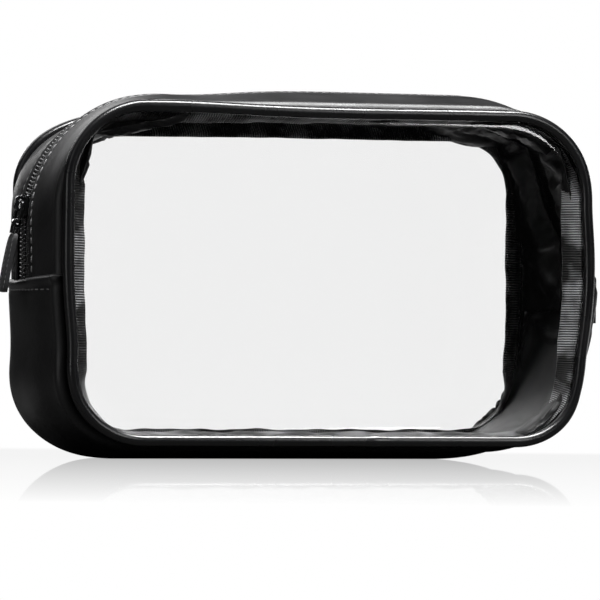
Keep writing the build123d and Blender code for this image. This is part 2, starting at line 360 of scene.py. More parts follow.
# %% Grain of coated cloth: fine pebbles and a slow unevenness
def make_grain_group():
    scales = {"Pebble scale": 900.0, "Slow scale": 30.0}
    group, source, sink = new_group("cloth_grain", scales, ("Height", "Uneven"))
    link = group.links.new
    place = node(group, "ShaderNodeTexCoord")
    pebbles = node(group, "ShaderNodeTexVoronoi", feature="SMOOTH_F1")
    fine = node(group, "ShaderNodeTexNoise", in_3=3.0)
    slow = node(group, "ShaderNodeTexNoise", in_3=2.0)
    half = node(group, "ShaderNodeMath", operation="MULTIPLY", in_1=0.6)
    both = node(group, "ShaderNodeMath", operation="ADD")
    for texture, scale in ((pebbles, "Pebble scale"), (fine, "Pebble scale"), (slow, "Slow scale")):
        link(place.outputs["Object"], texture.inputs["Vector"])
        link(source.outputs[scale], texture.inputs["Scale"])
    link(fine.outputs["Fac"], half.inputs[0])
    link(half.outputs[0], both.inputs[0])
    link(pebbles.outputs["Distance"], both.inputs[1])
    link(both.outputs[0], sink.inputs["Height"])
    link(slow.outputs["Fac"], sink.inputs["Uneven"])
    return group


# %% Ribs of woven tape, across the piece's own length
def make_rib_group():
    group, source, sink = new_group("woven_ribs", {"Ribs": 600.0, "Threads": 12.0}, ("Height", "Thread"))
    link = group.links.new
    place = node(group, "ShaderNodeUVMap")
    split = node(group, "ShaderNodeSeparateXYZ")
    link(place.outputs["UV"], split.inputs[0])
    waves = []
    for axis, label in ((0, "Ribs"), (1, "Threads")):
        count = node(group, "ShaderNodeMath", operation="MULTIPLY")
        turn = node(group, "ShaderNodeMath", operation="MULTIPLY", in_1=2 * pi)
        wave = node(group, "ShaderNodeMath", operation="SINE")
        link(split.outputs[axis], count.inputs[0])
        link(source.outputs[label], count.inputs[1])
        link(count.outputs[0], turn.inputs[0])
        link(turn.outputs[0], wave.inputs[0])
        waves.append(wave)
    lift = node(group, "ShaderNodeMath", operation="MULTIPLY_ADD", in_1=0.5, in_2=0.5)
    cross = node(group, "ShaderNodeMath", operation="MULTIPLY_ADD", in_1=0.5, in_2=0.5)
    link(waves[0].outputs[0], lift.inputs[0])
    link(waves[1].outputs[0], cross.inputs[0])
    link(lift.outputs[0], sink.inputs["Height"])
    link(cross.outputs[0], sink.inputs["Thread"])
    return group


GRAIN = make_grain_group()
RIBS = make_rib_group()


# %% A material whose height, colour and roughness follow one group
def finish(name, colour, roughness, metallic=0.0, specular=0.5, **sockets):
    material = bpy.data.materials.new(name)
    material.use_nodes = True
    shader = material.node_tree.nodes["Principled BSDF"]
    shader.inputs["Base Color"].default_value = (*colour, 1)
    shader.inputs["Roughness"].default_value = roughness
    shader.inputs["Metallic"].default_value = metallic
    shader.inputs["Specular IOR Level"].default_value = specular
    for label, value in sockets.items():
        shader.inputs[label.replace("_", " ")].default_value = value
    return material, material.node_tree, shader


def add_group(tree, group, **values):
    made = node(tree, "ShaderNodeGroup", node_tree=group)
    for label, value in values.items():
        made.inputs[label.replace("_", " ")].default_value = value
    return made


def bump_from(tree, shader, height, distance):
    bump = node(tree, "ShaderNodeBump")
    bump.inputs["Distance"].default_value = distance
    tree.links.new(height, bump.inputs["Height"])
    tree.links.new(bump.outputs["Normal"], shader.inputs["Normal"])


def spread(tree, mask, low, high, target):
    """Maps a mask from 0..1 to low..high and feeds it to a socket."""
    ramp = node(tree, "ShaderNodeMapRange")
    ramp.inputs["From Min"].default_value = 0.3
    ramp.inputs["From Max"].default_value = 0.7
    ramp.inputs["To Min"].default_value = low
    ramp.inputs["To Max"].default_value = high
    tree.links.new(mask, ramp.inputs["Value"])
    tree.links.new(ramp.outputs[0], target)


def shade(tree, mask, dark, light, target):
    mix = node(tree, "ShaderNodeMix", data_type="RGBA")
    mix.inputs["A"].default_value = (*dark, 1)
    mix.inputs["B"].default_value = (*light, 1)
    tree.links.new(mask, mix.inputs["Factor"])
    tree.links.new(mix.outputs["Result"], target)


# %% Coated cloth and woven tape
def make_coated_cloth(name, tint, rough_low, rough_high, pebble, depth):
    material, tree, shader = finish(name, tint, rough_low, specular=0.45)
    grain = add_group(tree, GRAIN, Pebble_scale=pebble, Slow_scale=45.0)
    bump_from(tree, shader, grain.outputs["Height"], depth)
    spread(tree, grain.outputs["Uneven"], rough_low, rough_high, shader.inputs["Roughness"])
    shade(tree, grain.outputs["Uneven"], tuple(c * 0.8 for c in tint), tuple(c * 1.25 for c in tint),
          shader.inputs["Base Color"])
    return material


def make_woven(name, dark, light, ribs, threads, depth, roughness, patches=0.0):
    material, tree, shader = finish(
        name, dark, roughness, specular=0.4, Sheen_Weight=0.2, Sheen_Roughness=0.4)
    link = tree.links.new
    weave = add_group(tree, RIBS, Ribs=ribs, Threads=threads)
    mixed = node(tree, "ShaderNodeMath", operation="MULTIPLY_ADD", in_1=0.25)
    link(weave.outputs["Thread"], mixed.inputs[0])
    link(weave.outputs["Height"], mixed.inputs[2])
    bump_from(tree, shader, mixed.outputs[0], depth)
    # Rib crests take the light colour and the hollows the dark one: a painted highlight on every rib.
    crest = weave.outputs["Height"]
    # Slow patches lift or hide the crest colour: painted patches of light and shade.
    if patches:
        lit_patches = node(tree, "ShaderNodeMath", operation="MULTIPLY")
        uneven = add_group(tree, GRAIN, Slow_scale=patches)
        link(crest, lit_patches.inputs[0])
        spread(tree, uneven.outputs["Uneven"], -1.4, 2.2, lit_patches.inputs[1])
        lit_patches.use_clamp = True
        crest = lit_patches.outputs[0]
    shade(tree, crest, dark, light, shader.inputs["Base Color"])
    return material


def paint_seam_shade(material):
    """Painted seam shade: colour and gloss are darkened where the cloth goes into a seam; an attribute on the
    piece says where.
    """
    tree = material.node_tree
    link = tree.links.new
    shader = tree.nodes["Principled BSDF"]
    painted_seam_shade = node(tree, "ShaderNodeAttribute", attribute_name="painted_seam_shade")
    gloss = node(tree, "ShaderNodeMath", operation="MULTIPLY_ADD", in_1=-0.43, in_2=0.45)
    link(painted_seam_shade.outputs["Fac"], gloss.inputs[0])
    link(gloss.outputs[0], shader.inputs["Specular IOR Level"])
    colour = shader.inputs["Base Color"].links[0].from_socket
    shade(tree, painted_seam_shade.outputs["Fac"], (1, 1, 1), (0.1, 0.1, 0.1), shader.inputs["Base Color"])
    mask = shader.inputs["Base Color"].links[0].from_socket
    mixed = node(tree, "ShaderNodeMix", data_type="RGBA", blend_type="MULTIPLY")
    mixed.inputs["Factor"].default_value = 1
    link(colour, mixed.inputs["A"])
    link(mask, mixed.inputs["B"])
    link(mixed.outputs["Result"], shader.inputs["Base Color"])


COATED = make_coated_cloth("black coated cloth", (0.004, 0.004, 0.0045), 0.34, 0.48, 1500, 0.00004)
# Painted shade: the coated cloth's colour and gloss are darkened where it goes into the seams.
paint_seam_shade(COATED)
PIPED = make_coated_cloth("piping cover", (0.004, 0.004, 0.0045), 0.22, 0.32, 1700, 0.00003)
STRAP = make_coated_cloth("stitched strap", (0.03, 0.03, 0.031), 0.38, 0.55, 1200, 0.00006)
LINING = make_coated_cloth("satin lining", (0.003, 0.003, 0.0035), 0.34, 0.50, 2600, 0.00003)
print("finishes so far", len(bpy.data.materials))


# %% Binding, tape, coil and thread
# The binding is dark tape: the light colour of its rib crests is a painted highlight, and its patches are
# painted light and shade.
BINDING = make_woven(
    "ribbed binding", (0.004, 0.004, 0.004), (0.42, 0.42, 0.43), 640, 7, 0.0004, 0.5, patches=75.0)
TAPE = make_woven("zip tape", (0.006, 0.006, 0.006), (0.016, 0.016, 0.017), 420, 24, 0.0001, 0.7)


def make_plain(name, colour, roughness, pebble, slow, rough=None, bump=None, **settings):
    """One colour, whose roughness or height follows the grain."""
    material, tree, shader = finish(name, colour, roughness, **settings)
    grain = add_group(tree, GRAIN, Pebble_scale=pebble, Slow_scale=slow)
    if rough:
        spread(tree, grain.outputs["Uneven"], *rough, shader.inputs["Roughness"])
    if bump:
        bump_from(tree, shader, grain.outputs["Height"], bump)
    return material


COIL = make_plain("zip coil", (0.07, 0.07, 0.072), 0.25, 4000.0, 300.0, rough=(0.2, 0.38), specular=0.8)
# The thread is black: its grey colour is a painted highlight that stands in for the glints of the stitches.
THREAD = make_plain("sewing thread", (0.22, 0.22, 0.222), 0.4, 5000.0, 800.0, bump=0.00005)
METAL = make_plain("black nickel", (0.05, 0.05, 0.052), 0.18, 2500.0, 400.0, rough=(0.12, 0.26), metallic=0.9)
FILLER = make_plain("piping cord", (0.05, 0.05, 0.05), 0.6, 900.0, 90.0, bump=0.0001)

# %% [markdown]
# Clear film: light passes almost unchanged, and the surface shows only by its gloss, which grows at a
# glancing angle. A thin film does not bend the view, so it is made by alpha and not by refraction. Light
# that leaves by the back of the sheet isn't bent either, so the index is turned over there. Otherwise the
# film would look like a mirror from the side.


# %% Clear film
FILM_INDEX = 1.46


def make_film():
    material, tree, shader = finish("clear film", (0.02, 0.02, 0.02), 0.1, specular=0.0)
    link = tree.links.new
    shader.inputs["Alpha"].default_value = 0.004
    grain = add_group(tree, GRAIN, Pebble_scale=60.0, Slow_scale=14.0)
    gloss = node(tree, "ShaderNodeBsdfAnisotropic")
    spread(tree, grain.outputs["Uneven"], 0.05, 0.12, gloss.inputs["Roughness"])
    facing = node(tree, "ShaderNodeNewGeometry")
    turned_over = 1 / FILM_INDEX - FILM_INDEX
    index = node(tree, "ShaderNodeMath", operation="MULTIPLY_ADD", in_1=turned_over, in_2=FILM_INDEX)
    glance = node(tree, "ShaderNodeFresnel")
    link(facing.outputs["Backfacing"], index.inputs[0])
    link(index.outputs[0], glance.inputs["IOR"])
    both = node(tree, "ShaderNodeMixShader")
    link(glance.outputs[0], both.inputs[0])
    link(shader.outputs[0], both.inputs[1])
    link(gloss.outputs[0], both.inputs[2])
    link(both.outputs[0], tree.nodes["Material Output"].inputs["Surface"])
    return material


FILM = make_film()

# %% [markdown]
# ## The gusset
#
# The base band is one wide strip that runs from the hem on the left, under the bag, to the hem on the
# right. It could be modelled as a box with rounded edges, but it is cloth held only at its two seams, so it
# is a thin sheet laid on the pillow shape, given its thickness, with its two hems turned over.


# %% Rows spaced closer near seams and folded edges
def seam_rows(v, edge_from, edge_to, power=1.0):
    """Depth for v from 0 to 1, closer together near both ends."""
    eased = v - power * np.sin(2 * pi * v) / (2 * pi)
    return edge_from + (edge_to - edge_from) * eased


def crease(distance, width):
    return hump(distance, 0, width)


# %% Base band with its turned hem and a shallow groove under the stitches
SEAM_TUCK = 30.1 * MM
HEM_STITCH = 4.0 * MM


# From the hem down, in mm: the rolled edge, the groove under the stitches and the turned-in rim.
HEM_SWELLS = ((0.55, 1.2, 1.4), (-0.3, 4.0, 0.9), (-0.9, 0, 0.5))


def hem_height(y):
    """The hem climbs a little towards the front seam."""
    return HEM_Z + MM * (0.9 * np.clip(-y / (26 * MM), -0.2, 1.2) - 0.4 * np.cos(y / (9 * MM)))


def place_base_band(u, v):
    y = seam_rows(v, SEAM_TUCK, -SEAM_TUCK, 0.8)
    hem = hem_height(y)
    x, z = half_walk(u, outline_at(y, 0.0), hem, upper=False)
    below_hem = np.minimum(u, 1 - u) * half_marks(hem, upper=False)[-1] / MM
    lift = sum(swell(below_hem, *shape) for shape in HEM_SWELLS)
    return laid(x + MM * lift * np.sign(x), y, z)


# How wide the painted seam shade is on each side of a seam line.
SEAM_SHADE_WIDTH = 1.3 * MM


def mark_painted_seam_shade(piece):
    """Writes how much painted seam shade each point gets, from 0 to 1, most where the cloth goes into a seam.
    """
    from_seam = SEAM_TUCK - np.abs(coords(piece)[:, 1])
    painted_seam_shade = piece.data.attributes.new("painted_seam_shade", "FLOAT", "POINT")
    painted_seam_shade.data.foreach_set("value", np.clip(1.2 * crease(from_seam, SEAM_SHADE_WIDTH), 0, 1))


base_band = lay_grid("base_band_cloth", 340, 60, place_base_band)
thicken(base_band, BAND_THICKNESS)
# Painted seam shade along both seams of the base band.
mark_painted_seam_shade(base_band)
report(base_band)

# %% [markdown]
# ## The zip bands
#
# Each zip band is folded back along the zip and topstitched. The fold is a small bead beside the zip, and
# the stitches pull a shallow groove behind it. Towards the zip's lower left end the bands stand further
# apart, because the tape is stitched down wider there.

# %% Front and back zip bands
STITCH_OFFSET = 2.1 * MM
EDGES = {-1: 4.2 * MM, 1: 3.3 * MM}
LEFT_SPREAD, LEFT_SHARE, LEFT_FADE = 5 * MM, 0.105, 0.016
RIGHT_SPREAD, RIGHT_FADE = 1.5 * MM, 0.08
# From the folded edge back, in mm: the bead, the groove under the stitches and the turned-in rim.
FOLD_SWELLS = ((0.35, 0.8, 0.7), (-0.35, STITCH_OFFSET / MM, 0.8), (-0.9, 0, 0.35))


def edge_distance(u, side):
    """How far the band's folded edge is from the zip's middle, along the zip."""
    left = LEFT_SPREAD / (1 + np.exp((u - LEFT_SHARE) / LEFT_FADE))
    return EDGES[side] + left + RIGHT_SPREAD * crease(1 - u, RIGHT_FADE)


def place_zip_band(side):
    def place(u, v):
        edge = edge_distance(u, side)
        y = side * seam_rows(v if side > 0 else 1 - v, edge, SEAM_TUCK, 0.75)
        lift = sum(swell((np.abs(y) - edge) / MM, *shape) for shape in FOLD_SWELLS)
        return laid_half(u, y, ZIP_BAND_INSET - MM * lift, ZIP_END_Z, upper=True)
    return place


SIDES = {"front": -1, "back": 1}
zip_bands = {}
for name, side in SIDES.items():
    zip_bands[name] = lay_grid(f"{name}_zip_band_cloth", 300, 34, place_zip_band(side))
    thicken(zip_bands[name], BAND_THICKNESS)
    # Painted seam shade along the band's seam with the face.
    mark_painted_seam_shade(zip_bands[name])
    report(zip_bands[name])

# %% [markdown]
# ## Piping
#
# Piping is a cover wrapped round a filler cord, with a flat flange that goes into the seam. Seen from
# outside it is a tube, so a grid is rolled into a closed tube along the face's outline. Its two ends
# overlap at the base, which shows as a small step.

# %% Piping covers and their filler cords
PIPING_JOINT = 0.972
CORD_SHARE = 0.6


def place_tube(side, radius, joint_step=0.0):
    def place(u, v):
        turn = 2 * pi * v * side
        girth = 1 + 0.02 * np.sin(u * 2 * pi * 9 + side) + joint_step * crease(u - PIPING_JOINT, 0.004)
        out = radius * girth * np.cos(turn)
        x, z = ring_walk(u, seam_outline(-out))
        y = side * SEAM_Y + radius * girth * np.sin(turn)
        return laid(x, y, z)
    return place


piping, cords = {}, {}
for name, side in SIDES.items():
    cover, cord = place_tube(side, PIPING_RADIUS, 0.1), place_tube(side, PIPING_RADIUS * CORD_SHARE)
    piping[name] = lay_grid(f"{name}_piping_cover", 420, 20, cover, closed=True)
    cords[name] = lay_grid(f"{name}_filler_cord", 300, 10, cord, closed=True)
    in_edit(piping[name], outwards)
    in_edit(cords[name], outwards)
    report(piping[name])

# %% [markdown]
# ## Clear windows
#
# Each window is a sheet of clear film, nearly flat, that turns in a little where the seam pulls it. The
# grid's rows run from the middle of the face to its edge, so that the edge can be shaped on its own.

# %% Front and back windows
FILM_THICKNESS = 0.5 * MM
FILM_EDGE = 1.9 * MM


def place_window(side):
    def place(u, v):
        out = 1 - (1 - v) ** 1.6
        x, z = ring_walk(u, seam_outline(np.full_like(u, FILM_EDGE)))
        middle_z = (seam_low + seam_top) / 2
        x, z = x * out, middle_z + (z - middle_z) * out
        rim = np.hypot(x / seam_half, (z - middle_z) / (seam_top - middle_z))
        dip = -0.9 * crease(1 - out, 0.02) + 0.35 * crease(1 - out, 0.12)
        y = side * (SEAM_Y + MM * (dip + 0.5 * np.cos(np.clip(rim, 0, 1) * pi / 2)))
        return laid(x, y, z)
    return place


windows = {}
for name, side in SIDES.items():
    windows[name] = lay_grid(f"{name}_clear_window", 260, 26, place_window(side), closed=True)
    in_edit(windows[name], merge_doubles)
    thicken(windows[name], FILM_THICKNESS, 0.0)
    in_edit(windows[name], outwards)
    report(windows[name])

# %% [markdown]
# ## Binding
#
# Inside, ribbed tape is folded over the raw edges of the seam. It stands into the bag at about 45 degrees
# and is a little uneven, gathered round the corners.

# %% Front and back binding
BINDING_FROM = 2.4 * MM
BINDING_TO = 10.4 * MM
BINDING_HALF = 1.0 * MM


def binding_tilt(z, side):
    """The tape leans in at 45 degrees on the straight sides, and lies nearly flat above and below."""
    below = np.clip((30 * MM - z) / (22 * MM), 0, 1)
    above = np.clip((z - 96 * MM) / (18 * MM), 0, 1) * (0.9 if side < 0 else 0.1)
    return np.radians(45 + 31 * np.maximum(below, above))


def place_binding(side):
    def place(u, v):
        turn = 2 * pi * v
        waves = np.sin(u * 2 * pi * 23 + 2 * side) * np.sin(u * 2 * pi * 5 + side)
        waves = waves + 0.4 * np.sin(u * 2 * pi * 51)
        reach = BINDING_TO + MM * 0.4 * waves
        middle = (BINDING_FROM + reach) / 2
        along = (reach - BINDING_FROM) / 2 * np.sign(np.cos(turn)) * np.abs(np.cos(turn)) ** 0.4
        across = BINDING_HALF * np.sign(np.sin(turn)) * np.abs(np.sin(turn)) ** 0.6
        across = across + MM * 0.5 * waves * (0.5 + along / BINDING_TO)
        x, z = ring_walk(u, seam_outline(np.zeros_like(u)))
        tilt = binding_tilt(z, side)
        if side > 0:
            wide_right = (2.5 + swell(z / MM, 3.5, 72, 28)) * hump(x / MM, 98, 12)
            reach_more = wide_right + swell(x / MM, 5, 88, 16) * hump(z / MM, 12, 14)
            along = along + MM * reach_more * (0.5 + along / BINDING_TO)
        inwards = (middle + along) * np.cos(tilt) - across * np.sin(tilt)
        deep = (middle + along) * np.sin(tilt) + across * np.cos(tilt)
        x, z = ring_walk(u, seam_outline(inwards))
        return settle(np.stack([x, side * (SEAM_Y - deep), z], axis=1))
    return place


bindings = {}
for name, side in SIDES.items():
    bindings[name] = lay_grid(f"{name}_ribbed_binding", 640, 16, place_binding(side), closed=True)
    in_edit(bindings[name], outwards)
    report(bindings[name])

# %% [markdown]
# ## Linings
#
# A thin satin lining hangs inside the gusset. It is cut a little large and held only at its seams, so it
# buckles. Drawing such creases by hand looks drawn: here the sheet is laid smooth, its edges are pinned, and
# a short cloth simulation lets it grow and sag. What would pass through the gusset is laid back against it.

# %% Laying the linings smooth, with flat facets where the gusset is folded at its upper corners
LINING_INSET = 3.2 * MM
LINING_THICKNESS = 0.3 * MM
LINING_SEAM_Z = 54 * MM
LINING_SEAM_Y = SEAM_TUCK - 1.5 * MM
LINING_EDGE = 5.3 * MM
LINING_GAP = 0.3 * MM
LINING_GROWTH = 0.10
BUCKLE_LIMITS = (-0.3 * MM, 4.5 * MM)
HALF_CHORD = 22.5


def facet(x, z):
    """Two chords in place of a round corner: how far each cuts inside the curve."""
    centre = MID_OUTLINE[0] - MID_CORNERS[1], MID_OUTLINE[2] - MID_CORNERS[1]
    turn = np.degrees(np.arctan2(z - centre[1], np.abs(x) - centre[0]))
    inside = (turn > 0) & (turn < 90)
    off = np.radians(np.mod(np.clip(turn, 0, 89.9), 2 * HALF_CHORD) - HALF_CHORD)
    return np.where(inside, MID_CORNERS[1] * (1 - cos(radians(HALF_CHORD)) / np.cos(off)), 0)


def place_base_lining(u, v):
    y = seam_rows(v, LINING_SEAM_Y, -LINING_SEAM_Y, 0.4)
    return laid_half(u, y, LINING_INSET, LINING_SEAM_Z, upper=False)


def place_zip_lining(side):
    def place(u, v):
        y = side * seam_rows(v if side > 0 else 1 - v, LINING_EDGE, LINING_SEAM_Y, 0.3)
        inset = LINING_INSET + 1.0 * MM
        x, z = half_walk(u, outline_at(y, inset), LINING_SEAM_Z + LINING_GAP, upper=True)
        return laid_half(u, y, inset + facet(x, z), LINING_SEAM_Z + LINING_GAP, upper=True)
    return place


base_lining = lay_grid("base_lining_cloth", 190, 36, place_base_lining)
zip_linings = {
    name: lay_grid(f"{name}_lining_cloth", 190, 18, place_zip_lining(side)) for name, side in SIDES.items()}


def edge_indices(piece):
    work = bmesh.new()
    work.from_mesh(piece.data)
    found = [vertex.index for vertex in work.verts if vertex.is_boundary]
    work.free()
    return found


def buckle(piece, frames=18):
    """Grows a sheet whose edges are pinned, and keeps it on the inner side of where it was laid."""
    laid = coords(piece)
    normals = np.empty(len(laid) * 3)
    piece.data.vertices.foreach_get("normal", normals)
    normals = normals.reshape(-1, 3)
    middle = np.array([0, 0, 0.07])
    normals *= np.sign(((middle - laid) * normals).sum(1))[:, None]
    pinned = piece.vertex_groups.new(name="sewn")
    pinned.add(edge_indices(piece), 1.0, "REPLACE")
    cloth = piece.modifiers.new("Cloth", "CLOTH")
    cloth.settings.vertex_group_mass = "sewn"
    cloth.settings.quality = 5
    cloth.settings.mass = 0.1
    cloth.settings.tension_stiffness = cloth.settings.compression_stiffness = 8
    cloth.settings.bending_stiffness = 0.02
    cloth.settings.shrink_min = -LINING_GROWTH
    cloth.collision_settings.use_collision = False
    cloth.settings.effector_weights.gravity = 0.15
    for frame_number in range(1, frames + 1):
        bpy.context.scene.frame_set(frame_number)
    active(piece)
    bpy.ops.object.modifier_apply(modifier=cloth.name)
    piece.vertex_groups.clear()
    moved = coords(piece) - laid
    inward = (moved * normals).sum(1)
    set_coords(piece, laid + moved + normals * (np.clip(inward, *BUCKLE_LIMITS) - inward)[:, None])
    print(piece.name, "buckled by up to", round(float(inward.max() / MM), 1), "mm")


lining_sheets = [base_lining, *zip_linings.values()]
for sheet_piece in lining_sheets:
    buckle(sheet_piece)
    thicken(sheet_piece, LINING_THICKNESS)
    report(sheet_piece)
bpy.context.scene.frame_set(1)

# %% [markdown]
# ## The zip
#
# A coil zip is two woven tapes with a coil of nylon sewn along each edge. Where it is shut, the turns of
# one coil sit between those of the other. One turn is modelled and repeated along the zip's line.

# %% Zip tapes
TAPE_INSET = 2.7 * MM
TAPE_THICKNESS = 0.55 * MM
TAPE_GAP = 0.5 * MM
TAPE_WIDTH = 14.0 * MM


def place_tape(side):
    def place(u, v):
        across = v if side > 0 else 1 - v
        y = side * (TAPE_GAP + (TAPE_WIDTH - TAPE_GAP) * across)
        return laid_half(u, y, TAPE_INSET, ZIP_END_Z, upper=True)
    return place


tapes = {}
for name, side in SIDES.items():
    tapes[name] = lay_grid(f"{name}_zip_tape_cloth", 240, 10, place_tape(side))
    thicken(tapes[name], TAPE_THICKNESS)


# %% Copies of one small shape along a line
def directions(here, ahead, above):
    """Places, directions along a line and outward normals, from points moved ahead and moved out."""
    tangent = ahead - here
    tangent /= np.linalg.norm(tangent, axis=1)[:, None] + 1e-12
    normal = above - here
    normal -= (normal * tangent).sum(1)[:, None] * tangent
    normal /= np.linalg.norm(normal, axis=1)[:, None] + 1e-12
    return here, tangent, normal


def along_zip(share, y, inset):
    """Places, directions and normals at shares of the zip's length."""
    y = np.full_like(share, y)

    def at(moved, deeper):
        return laid_half(np.clip(share + moved, 0, 1), y, inset + deeper, ZIP_END_Z, upper=True)
    return directions(at(0, 0), at(1e-3, 0), at(0, -0.5 * MM))


def repeat(name, unit, places, tangents, normals):
    """One mesh made of a copy of the unit at each place: its X along the line and its Z outwards."""
    shape = coords(unit)
    sides = np.cross(normals, tangents)
    bases = np.stack([tangents, sides, normals], axis=1)
    points = np.einsum("vk,nkc->nvc", shape, bases) + places[:, None, :]
    faces = [tuple(face.vertices) for face in unit.data.polygons]
    count = len(shape)
    every = [tuple(i + count * n for i in face) for n in range(len(places)) for face in faces]
    mesh = bpy.data.meshes.new(name)
    mesh.from_pydata(points.reshape(-1, 3).tolist(), [], every)
    mesh.update()
    for face in mesh.polygons:
        face.use_smooth = True
    piece = bpy.data.objects.new(name, mesh)
    bpy.context.scene.collection.objects.link(piece)
    return piece


def drop(unit):
    bpy.data.objects.remove(unit, do_unlink=True)


# %% Coils: each turn is a bead that leans along the zip and bends over the edge of the tape
COIL_PITCH = 1.5 * MM
COIL_REACH = 3.4 * MM
COIL_LEAN = 0.42 * MM
COIL_INSET = 2.1 * MM


def make_turn(side):
    bpy.ops.object.select_all(action="DESELECT")
    bpy.ops.mesh.primitive_uv_sphere_add(segments=8, ring_count=8, radius=1)
    turn = bpy.context.object
    x, y, z = coords(turn).T
    wide = np.sign(y) * np.abs(y) ** 0.6
    arch = 0.7 * MM * (1 - (wide - 0.25 * side) ** 2)
    lean = side * wide * COIL_LEAN
    set_coords(turn, np.stack([x * 0.38 * MM + lean, wide * COIL_REACH / 2, z * 0.42 * MM + arch], axis=1))
    return turn


coils = {}
total = half_marks(ZIP_END_Z, upper=True)[-1]
for name, side in SIDES.items():
    count = int(total / COIL_PITCH)
    share = (np.arange(count) + (0.25 if side > 0 else 0.75)) / count
    turn_unit = make_turn(side)
    coils[name] = repeat(
        f"{name}_coil_turns", turn_unit, *along_zip(share, side * (COIL_REACH / 2 - 0.5 * MM), COIL_INSET))
    drop(turn_unit)
    report(coils[name])

# %% [markdown]
# ## Stitches
#
# Each stitch is a short rounded length of thread, sunk at both ends.

# %% One stitch, and the rows of topstitch beside the zip
STITCH_LENGTH = 2.5 * MM
STITCH_PITCH = 3.3 * MM
THREAD_RADIUS = 0.28 * MM


def make_stitch(length=STITCH_LENGTH, radius=THREAD_RADIUS):
    bpy.ops.object.select_all(action="DESELECT")
    bpy.ops.mesh.primitive_uv_sphere_add(segments=6, ring_count=6, radius=1, rotation=(0, pi / 2, 0))
    bpy.ops.object.transform_apply(rotation=True)
    stitch = bpy.context.object
    x, y, z = coords(stitch).T
    long = np.sign(x) * np.abs(x) ** 0.6
    sunk = z * radius - 0.6 * radius * long ** 4
    set_coords(stitch, np.stack([long * length / 2, y * radius, sunk], axis=1))
    return stitch


stitch_unit = make_stitch()
topstitches = {}
for name, side in SIDES.items():
    count = int(total / STITCH_PITCH)
    share = (np.arange(count) + 0.5) / count
    share = share[(share > 0.035) & (share < 0.965)]
    depth = side * (edge_distance(share, side) + STITCH_OFFSET)
    topstitches[name] = repeat(
        f"{name}_topstitch", stitch_unit, *along_zip(share, depth, ZIP_BAND_INSET + 0.1 * MM))

# %% Hem stitches on the base band
def hem_row(side_x):
    y = np.arange(-24 * MM, 24.1 * MM, STITCH_PITCH)
    below = HEM_STITCH / half_marks(HEM_Z, upper=False)[-1]
    share = np.full_like(y, below if side_x < 0 else 1 - below)

    def at(depth, inset):
        return laid_half(share, depth, inset, HEM_Z, upper=False)
    return directions(at(y, 0.25 * MM), at(y + 0.5 * MM, 0.25 * MM), at(y, -0.3 * MM))


hem_rows = [hem_row(-1), hem_row(1)]
hem_stitches = repeat("hem_stitches", stitch_unit, *(np.concatenate(parts) for parts in zip(*hem_rows)))
drop(stitch_unit)
report(hem_stitches)

# %% [markdown]
# ## The pull's strap
#
# The strap is two layers of coated cloth, edge-stitched, with a thin neck that the clip grips.

# %% Strap from a cube, bevelled and slightly bowed
strap_joint = next(j for j in frame["joints"] if j["name"] == "pull_strap_swing")
strap_top = Vector(strap_joint["pos_m"])
lean = radians(11)
strap_down = Vector((-sin(lean), 0, -cos(lean)))
strap_out = Vector((-cos(lean), 0, sin(lean)))
strap_basis = Matrix((strap_down, Vector((0, 1, 0)), strap_out)).transposed().to_4x4()
strap_basis.translation = strap_top
CLIP_END = 4.1 * MM
STRAP_LENGTH = 21 * MM
STRAP_WIDTH = 7.2 * MM
STRAP_THICKNESS = 1.7 * MM

bpy.ops.object.select_all(action="DESELECT")
bpy.ops.mesh.primitive_cube_add(size=1)
strap = bpy.context.object
strap.name = strap.data.name = "pull_strap_leather"
strap.scale = (STRAP_LENGTH, STRAP_WIDTH, STRAP_THICKNESS)
strap.location = (CLIP_END + 0.1 * MM + STRAP_LENGTH / 2, 0, 0)
bpy.ops.object.transform_apply(location=True, scale=True)
in_edit(strap, lambda: bpy.ops.mesh.subdivide(number_cuts=14))
points = coords(strap)
t = (points[:, 0] - CLIP_END) / STRAP_LENGTH
edge = np.abs(points[:, 1]) / (STRAP_WIDTH / 2)
round_end = np.clip((t - 0.86) / 0.14, 0, 1)
points[:, 1] *= 1 - 0.16 * round_end ** 2 - 0.30 * np.clip(1 - t / 0.12, 0, 1) ** 2
points[:, 2] *= 1 - 0.42 * crease((edge - 0.74), 0.13) - 0.25 * np.clip(1 - t / 0.1, 0, 1)
points[:, 2] += 0.35 * MM * np.sin(pi * t)
set_coords(strap, points)
apply_modifier(strap, "BEVEL", width=0.35 * MM, segments=3, limit_method="ANGLE")
strap.data.transform(strap_basis)
for face in strap.data.polygons:
    face.use_smooth = True
report(strap)


# %% Edge stitches on both faces of the strap
STRAP_PITCH = 1.9 * MM


def strap_rows():
    along = np.arange(CLIP_END + 2.5 * MM, CLIP_END + STRAP_LENGTH - 1.2 * MM, STRAP_PITCH)
    places, outs = [], []
    for edge_side in (-1, 1):
        for face_side in (-1, 1):
            bow = 0.35 * MM * np.sin(pi * (along - CLIP_END) / STRAP_LENGTH)
            deep = face_side * STRAP_THICKNESS * 0.31 + bow
            places.append(np.stack([along, 0 * along + edge_side * 0.37 * STRAP_WIDTH, deep], axis=1))
            outs.append(np.tile([0.0, 0.0, face_side], (len(along), 1)))
    return np.concatenate(places), np.concatenate(outs)


strap_unit = make_stitch(1.35 * MM, 0.24 * MM)
strap_places, strap_outs = strap_rows()
strap_along = np.tile([1.0, 0.0, 0.0], (len(strap_places), 1))
strap_stitches = repeat("strap_stitches", strap_unit, strap_places, strap_along, strap_outs)
drop(strap_unit)
strap_stitches.data.transform(strap_basis)
report(strap_stitches)

# %% [markdown]
# ## The side tab
#
# A strip folded double, sewn under the hem and hanging down the right side. Its sewn leg stays where it is
# and its free leg lifts, so the strip is laid as two pieces whose ends lie over each other at the fold. One
# piece bent between them would shear, because its two legs are closer together than the fold is long.

# %% The strip's sewn leg and its free leg
tab_low, tab_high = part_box("side_tab")
tab_root_low, tab_root_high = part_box("side_tab_root")


TAB_LENGTH = 26 * MM


